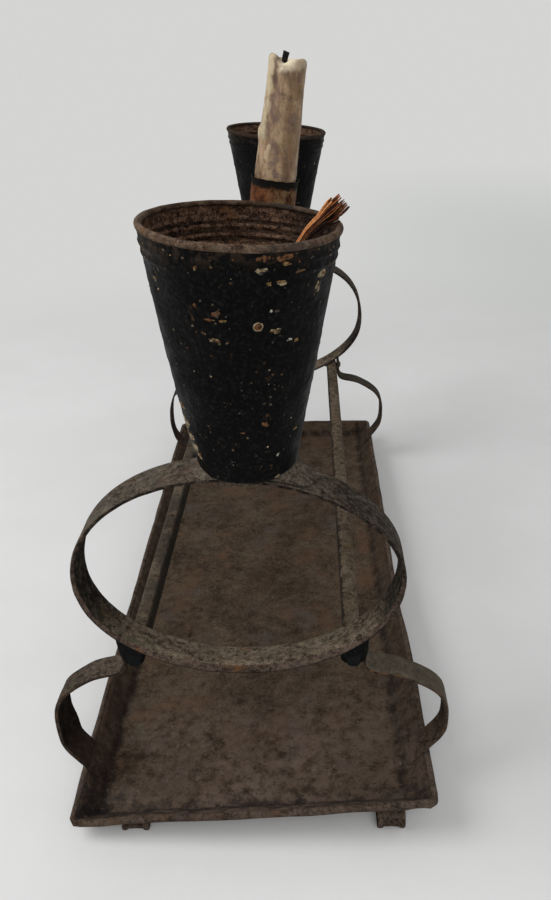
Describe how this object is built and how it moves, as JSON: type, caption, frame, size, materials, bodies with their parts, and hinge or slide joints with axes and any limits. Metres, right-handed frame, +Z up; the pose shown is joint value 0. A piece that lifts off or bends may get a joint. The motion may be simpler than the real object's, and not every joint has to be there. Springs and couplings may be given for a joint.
{
  "type": "candle stand",
  "caption": "Old sheet-iron candle stand: shallow flared tray on strap feet, scroll brackets, rails, oval strap rings with tapered cups, and a leaning candle socket on the bar between them.",
  "frame": {"origin": "on the ground under the middle of the tray, with the soles of the feet at z = 0", "axes": "+Z up, +Y along the tray from the near cup, which holds the fibre bundle, to the far cup, +X to the right"},
  "size_m": [0.172, 0.381, 0.3051],
  "materials": {
    "tray_rust": "dark brown rusted sheet iron, matt and mottled",
    "strap_rust": "taupe rusted strap iron, pitted",
    "black_paint": "old black japanned paint, chipped to rust and ochre",
    "rim_rust": "bare rusted rolled rim",
    "socket_rust": "orange-brown rusted tube",
    "wax": "dirty cream candle wax",
    "wick": "charred cotton wick",
    "fibre": "coarse orange-brown plant fibre"
  },
  "bodies": {
    "stand": {"tray_pan": "tray_rust", "tray_rim_bead": "tray_rust", "foot_near_left": "strap_rust", "foot_near_right": "strap_rust", "foot_far_left": "strap_rust", "foot_far_right": "strap_rust", "foot_rivet_near_left": "tray_rust", "foot_rivet_near_right": "tray_rust", "foot_rivet_far_left": "tray_rust", "foot_rivet_far_right": "tray_rust", "bracket_near_left": "strap_rust", "bracket_near_right": "strap_rust", "bracket_far_left": "strap_rust", "bracket_far_right": "strap_rust", "tray_rivet_near_left": "tray_rust", "tray_rivet_near_right": "tray_rust", "tray_rivet_far_left": "tray_rust", "tray_rivet_far_right": "tray_rust", "rail_rivet_near_left": "strap_rust", "rail_rivet_near_right": "strap_rust", "rail_rivet_far_left": "strap_rust", "rail_rivet_far_right": "strap_rust", "rail_left": "strap_rust", "rail_right": "strap_rust", "ring_near": "strap_rust", "ring_far": "strap_rust", "top_bar": "strap_rust", "cup_near": "black_paint", "cup_far": "black_paint", "cup_base_near": "black_paint", "cup_base_far": "black_paint", "cup_rim_near": "rim_rust", "cup_rim_far": "rim_rust", "cup_rivet_near": "strap_rust", "cup_rivet_far": "strap_rust", "socket_base": "strap_rust", "socket_rivet": "strap_rust", "candle_socket": "socket_rust"},
    "candle_body": {"candle": "wax", "wick": "wick"},
    "bundle_body": {"fibre_bundle": "fibre"}
  },
  "joints": [
    {"name": "candle_lift", "type": "slide", "parent": "stand", "child": "candle_body", "axis": [0.153, 0, 0.9882], "range_m": [0, 0.085]},
    {"name": "bundle_lift", "type": "slide", "parent": "stand", "child": "bundle_body", "axis": [0.7455, -0.0119, 0.6664], "range_m": [0, 0.06]}
  ]
}
